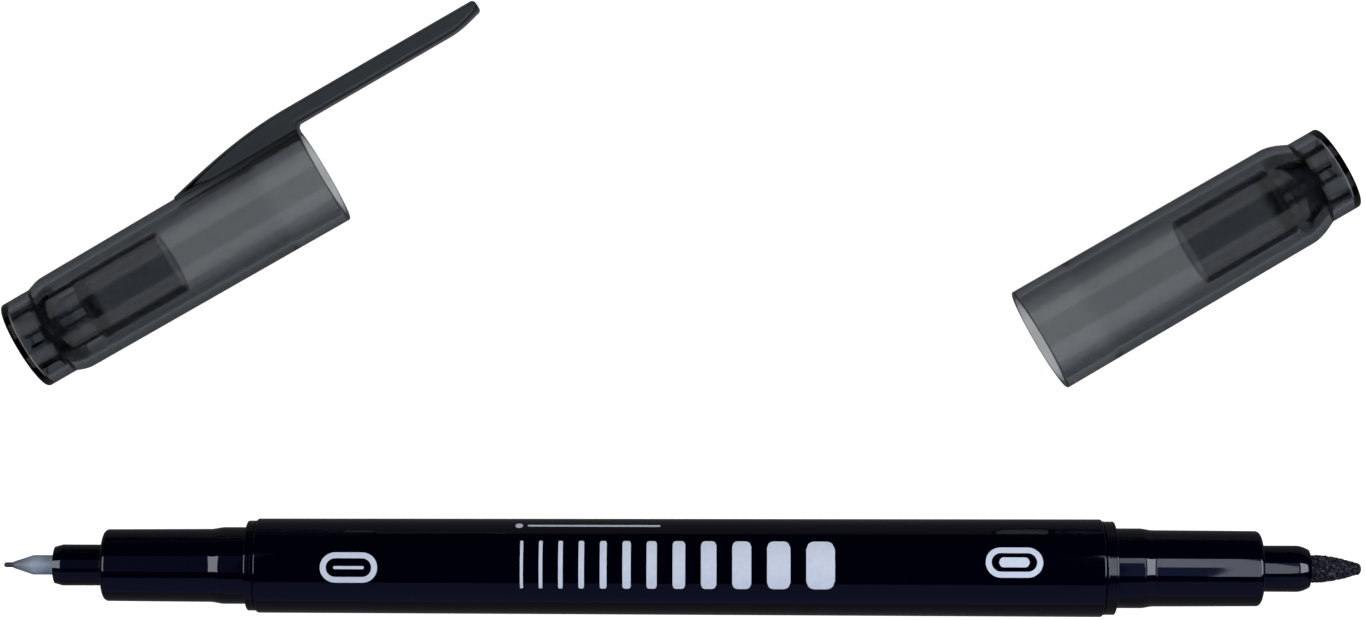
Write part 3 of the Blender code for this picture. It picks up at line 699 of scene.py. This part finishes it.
# ---------------------------------------------------------------------------------------------
# Inner caps. Each cap holds a clearer smoky cup that seals the nose. A post with crossed ribs
# joins it to a hollow collar, which follows the cap's shoulder, and runs on through the neck.
# ---------------------------------------------------------------------------------------------
CAP_LENGTH = 35.3 * MM
CAP_WALL = 0.8 * MM
MOUTH_STEP = 0.12 * MM
MOUTH_DEPTH = 5.6 * MM
STEP_LENGTH = 1.3 * MM
NECK_LENGTH = 3.3 * MM
END_WALL = 0.5 * MM
RIB_HALF = 0.45 * MM
INNER_FLOOR = 0.9 * MM
COLLAR_RISE, COLLAR_WALL = 0.5 * MM, 0.8 * MM
POST_RADIUS = 1.1 * MM
TIP_ROOM, NOSE_ROOM = 0.8 * MM, 0.1 * MM
INNER_LIP, FLOOR_ROUND = 0.15 * MM, 0.4 * MM
RIB_BEVEL, RIB_DRAW = 0.1 * MM, 0.08 * MM
NECK_START = CAP_LENGTH - NECK_LENGTH
CAPS = {
    "clip_cap": dict(mouth=5.45 * MM, top=5.23 * MM, neck=4.77 * MM, shoulder=1.8 * MM,
                     inner=3.48 * MM, inner_mouth=17.9 * MM, nose=2.1 * MM, tip=FINE_TIP),
    "plain_cap": dict(mouth=5.64 * MM, top=5.48 * MM, neck=4.56 * MM, shoulder=2.9 * MM,
                      inner=3.67 * MM, inner_mouth=17.8 * MM, nose=2.37 * MM, tip=BULLET_TIP)}
end_faces = {mount["name"]: mount for mount in frame["record"]["mounts"]}
for name, cap in CAPS.items():
    face = end_faces[name + "_end_face"]
    forward = Vector(face["axis"]).normalized()
    cap["frame"] = end_frame(Vector(face["pos_m"]) - forward * CAP_LENGTH, forward)
    cap["shoulder_start"] = NECK_START - cap["shoulder"]


def shoulder_curve(cap, wall):
    """From the neck to the side: the radius grows with a quarter of a sine of the way down."""
    share = np.linspace(0, 1, 17)
    neck, side = cap["neck"] - wall, cap["top"] - wall
    return np.column_stack([neck + (side - neck) * np.sin(np.pi / 2 * share),
                            NECK_START - cap["shoulder"] * share])


def smoky(name, bending, tint, painted_edge_shade, density, gloss):
    """Clear plastic that bends light by an index, grey in its depth by a density per metre.

    Each face adds a tint, which turns to a painted edge shade where the face is seen edge on; this
    darkening towards the edges is painted shade, not a colour of the plastic.
    """
    material, tree, shader = new_material(name)
    set_sockets(shader, IOR=bending, Transmission_Weight=1.0)
    # Painted shade: the facing of each face darkens its base colour towards the painted edge shade
    # where it is seen edge on.
    rim = new_node(tree, "LayerWeight", Blend=0.5)
    tree.links.new(colour_by(tree, rim.outputs["Facing"], tint, painted_edge_shade, 0.1, 0.55),
                   shader.inputs["Base Color"])
    lay_gloss(tree, shader, 0.002 * MM, Gloss=gloss, Scuffing=0.06, Ripple=300.0)
    depth = new_node(tree, "VolumeAbsorption", Color=(0.0, 0.04, 0.08, 1), Density=density)
    tree.links.new(depth.outputs["Volume"], tree.nodes["Material Output"].inputs["Volume"])
    return material


# The second colour of each is the painted edge shade, which darkens the caps' edges as painted
# shade.
smoky_inner = smoky("smoky_inner_cap", 1.33, (0.88, 0.89, 0.92), (0.6, 0.62, 0.66), 400.0, 0.1)
smoky_shell = smoky("smoky_cap_shell", 1.47, (0.75, 0.755, 0.76), (0.2, 0.205, 0.215), 830.0, 0.04)


def bar_points(stations, half_width, low, high, low_corner, high_corner):
    """A bar carried along its stations, its section a rectangle with round corners.

    A section's points are (x, y) = (sx (w - c) + c cos a, m + sy (h - c) + c sin a), where w is
    half its width, h half its height, m its middle, c the corner's radius and (sx, sy) the
    signs of the corner. Both ends are drawn in to a point on the middle line.
    """
    turn = np.radians(np.linspace(0, 360, 25)[:-1].reshape(4, 6) + np.linspace(0, 75 / 6, 6))
    sign = np.array([(1, 1), (-1, 1), (-1, -1), (1, -1)])
    angle, sx, sy = turn.ravel(), np.repeat(sign[:, 0], 6), np.repeat(sign[:, 1], 6)
    largest = (np.minimum(half_width, (high - low) / 2) * 0.98)[:, None]
    size = np.minimum(np.where(sy > 0, high_corner, low_corner), largest)
    middle, half = ((high + low) / 2)[:, None], ((high - low) / 2)[:, None]
    across = sx * (half_width[:, None] - size) + size * np.cos(angle)
    up = middle + sy * (half - size) + size * np.sin(angle)
    points = np.stack([across, up, stations[:, None] + 0 * up], -1)
    ends = np.stack([0 * middle, middle, stations[:, None]], -1) + 0 * points
    return np.concatenate([ends[:1], points, ends[-1:]])


def union(piece, *guides):
    """The meshes of the pieces joined into one closed mesh; the guides are used up."""
    for guide in guides:
        step = piece.modifiers.new("join", "BOOLEAN")
        step.operation = "UNION"
        step.solver = "EXACT"
        step.object = guide
    bpy.context.view_layer.update()
    joined = bpy.data.meshes.new_from_object(
        piece.evaluated_get(bpy.context.evaluated_depsgraph_get()))
    name = piece.name
    for item in (piece, *guides):
        bpy.data.objects.remove(item)
    joined.name = name
    joined.shade_smooth()
    joined.set_sharp_from_angle(angle=math.radians(40))
    return joined


for name, cap in CAPS.items():
    shell_inside = CAP_WALL + MOUTH_STEP + FIT_GAP
    bore = cap["nose"] + NOSE_ROOM
    floor = cap["tip"] + TIP_ROOM
    cup_end = floor + INNER_FLOOR
    collar_end = NECK_START + COLLAR_RISE
    post_end = CAP_LENGTH - END_WALL - SEAT_GAP
    collar_floor = collar_end - COLLAR_WALL
    lip = INNER_LIP
    neck, skirt = cap["neck"] - shell_inside, cap["top"] - shell_inside
    outline = np.vstack([
        [(0.0, post_end), (POST_RADIUS, post_end), (POST_RADIUS, collar_end)],
        arc(neck - lip, collar_end - lip, lip, 90, 0, 4), shoulder_curve(cap, shell_inside),
        [(skirt - COLLAR_WALL, cap["shoulder_start"]), (neck - COLLAR_WALL, collar_floor),
         (POST_RADIUS, collar_floor), (POST_RADIUS, cup_end)],
        arc(cap["inner"] - lip, cup_end - lip, lip, 90, 0, 4),
        arc(cap["inner"] - lip, cap["inner_mouth"] + lip, lip, 0, -90, 4),
        arc(bore + lip, cap["inner_mouth"] + lip, lip, -90, -180, 4),
        arc(bore - FLOOR_ROUND, floor - FLOOR_ROUND, FLOOR_ROUND, 0, 90, 5), [(0.0, floor)]])
    cup_name = name + "_cup"
    cup = placed(cup_name, turned(cup_name, outline, False, cap["frame"], sides=128))
    rib_start, rib_end = cup_end - INNER_FLOOR / 2, post_end - SEAT_GAP
    stations = np.array([rib_start, rib_end - RIB_BEVEL, rib_end])
    draw = np.array([0.0, 0.0, RIB_DRAW])
    ribs = []
    for turn in (45, 135):
        points = bar_points(stations, neck - draw, draw - RIB_HALF, RIB_HALF - draw, RIB_BEVEL,
                            RIB_BEVEL)
        matrix = cap["frame"] @ Matrix.Rotation(math.radians(turn), 4, "Z")
        ribs.append(placed(f"{name}_rib_{turn}", grid_mesh("rib", points, False, True, matrix)))
    add_piece(name + "_inner_cup", union(cup, *ribs), smoky_inner, "smoky_plastic", name,
              name + "_inner_cap")

# ---------------------------------------------------------------------------------------------
# Cap shells. Smoky clear plastic cups, moulded in one shot: a neck at the closed end, a bulging
# shoulder, and a side that widens to the mouth. One shell carries the pocket clip on a fin; the
# clip bends where the blade leaves the fin, at the mouth.
# ---------------------------------------------------------------------------------------------
FIN_LENGTH = 14.3 * MM
CLIP_HALF = 2.0 * MM
CLIP_REACH = 22.2 * MM
CLIP_RAMP = 4.1 * MM
CLIP_INNER = 5.624 * MM
CLIP_OUTER = 7.474 * MM
CLIP_LIFT = 0.65 * MM
CLIP_CORNER, CLIP_INNER_CORNER = 0.25 * MM, 0.6 * MM
TIP_CURVE = 0.45 * MM
FILLET = 0.35 * MM
ROOT_SINK = 0.2 * MM
END_ROUND, MOUTH_LIP, MOUTH_LIP_INSIDE = 0.3 * MM, 0.2 * MM, 0.1 * MM


def side_radius(cap, height):
    """The shell's outer radius at a height between the mouth and the shoulder."""
    return cap["mouth"] + (cap["top"] - cap["mouth"]) * height / cap["shoulder_start"]


for name, cap in CAPS.items():
    edge, lip, inside = END_ROUND, MOUTH_LIP, MOUTH_LIP_INSIDE
    wall = CAP_WALL + MOUTH_STEP
    step_radius = side_radius(cap, MOUTH_DEPTH) - CAP_WALL
    step = np.linspace(0, 1, 9)
    outline = np.vstack([
        [(0.0, CAP_LENGTH)], arc(cap["neck"] - edge, CAP_LENGTH - edge, edge, 90, 0),
        shoulder_curve(cap, 0.0), arc(cap["mouth"] - lip, lip, lip, 0, -90),
        arc(cap["mouth"] - CAP_WALL + inside, inside, inside, -90, -180, 4),
        np.column_stack([step_radius - MOUTH_STEP * step**2 * (3 - 2 * step),
                         MOUTH_DEPTH + STEP_LENGTH * step]),
        shoulder_curve(cap, wall)[::-1],
        arc(cap["neck"] - wall - edge, CAP_LENGTH - END_WALL - edge, edge, 0, 90, 4),
        [(0.0, CAP_LENGTH - END_WALL)]])
    mesh = turned(name + "_cup_shell", outline, False, cap["frame"])
    if name == "plain_cap":
        add_piece("plain_cap_smoky_shell", mesh, smoky_shell, "smoky_plastic", name,
                  "plain_cap_shell")
        continue
    rise = np.linspace(0, 1, 33)
    drop = np.linspace(0, 90, 9)[1:]
    ramp = np.linspace(0, 1, 25)[1:]
    fin = FIN_LENGTH * (1 - rise)
    neck = -FILLET * np.sin(np.radians(drop))
    blade = -(CLIP_REACH - CLIP_RAMP) - (CLIP_RAMP - TIP_CURVE) * ramp
    nose = -CLIP_REACH + TIP_CURVE * (1 - np.sin(np.radians(drop)))
    stations = np.concatenate([fin, neck, [-(CLIP_REACH - CLIP_RAMP)], blade, nose])
    side = side_radius(cap, fin)
    root = cap["mouth"] - CAP_WALL + ROOT_SINK
    bend = TIP_CURVE * (1 - np.cos(np.radians(drop)))
    lift = CLIP_INNER + CLIP_LIFT * (1 - np.cos(np.pi / 2 * ramp))
    high = np.concatenate([side + (CLIP_OUTER - side) * np.sin(np.pi / 2 * rise),
                           CLIP_OUTER + 0 * neck, [CLIP_OUTER], CLIP_OUTER + 0 * ramp,
                           CLIP_OUTER - bend])
    low = np.concatenate([root + 0 * fin, CLIP_INNER - FILLET * (1 - np.sin(np.radians(drop))),
                          [CLIP_INNER], lift, CLIP_INNER + CLIP_LIFT + bend])
    half = np.concatenate([CLIP_HALF + 0 * fin, CLIP_HALF + 0 * neck, [CLIP_HALF],
                           CLIP_HALF + 0 * ramp, CLIP_HALF - bend])
    points = bar_points(stations, half, -high, -low, CLIP_CORNER, CLIP_INNER_CORNER)
    blade_mesh = grid_mesh("clip_blade", points, False, True, cap["frame"], sharp=30)
    clip = placed("clip_blade", blade_mesh)
    joined = union(placed("clip_cap_smoky_shell", mesh), clip)
    shell = add_piece("clip_cap_smoky_shell", joined, smoky_shell, "smoky_plastic", None,
                      "clip_cap_shell", "pocket_clip")
    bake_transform(shell)
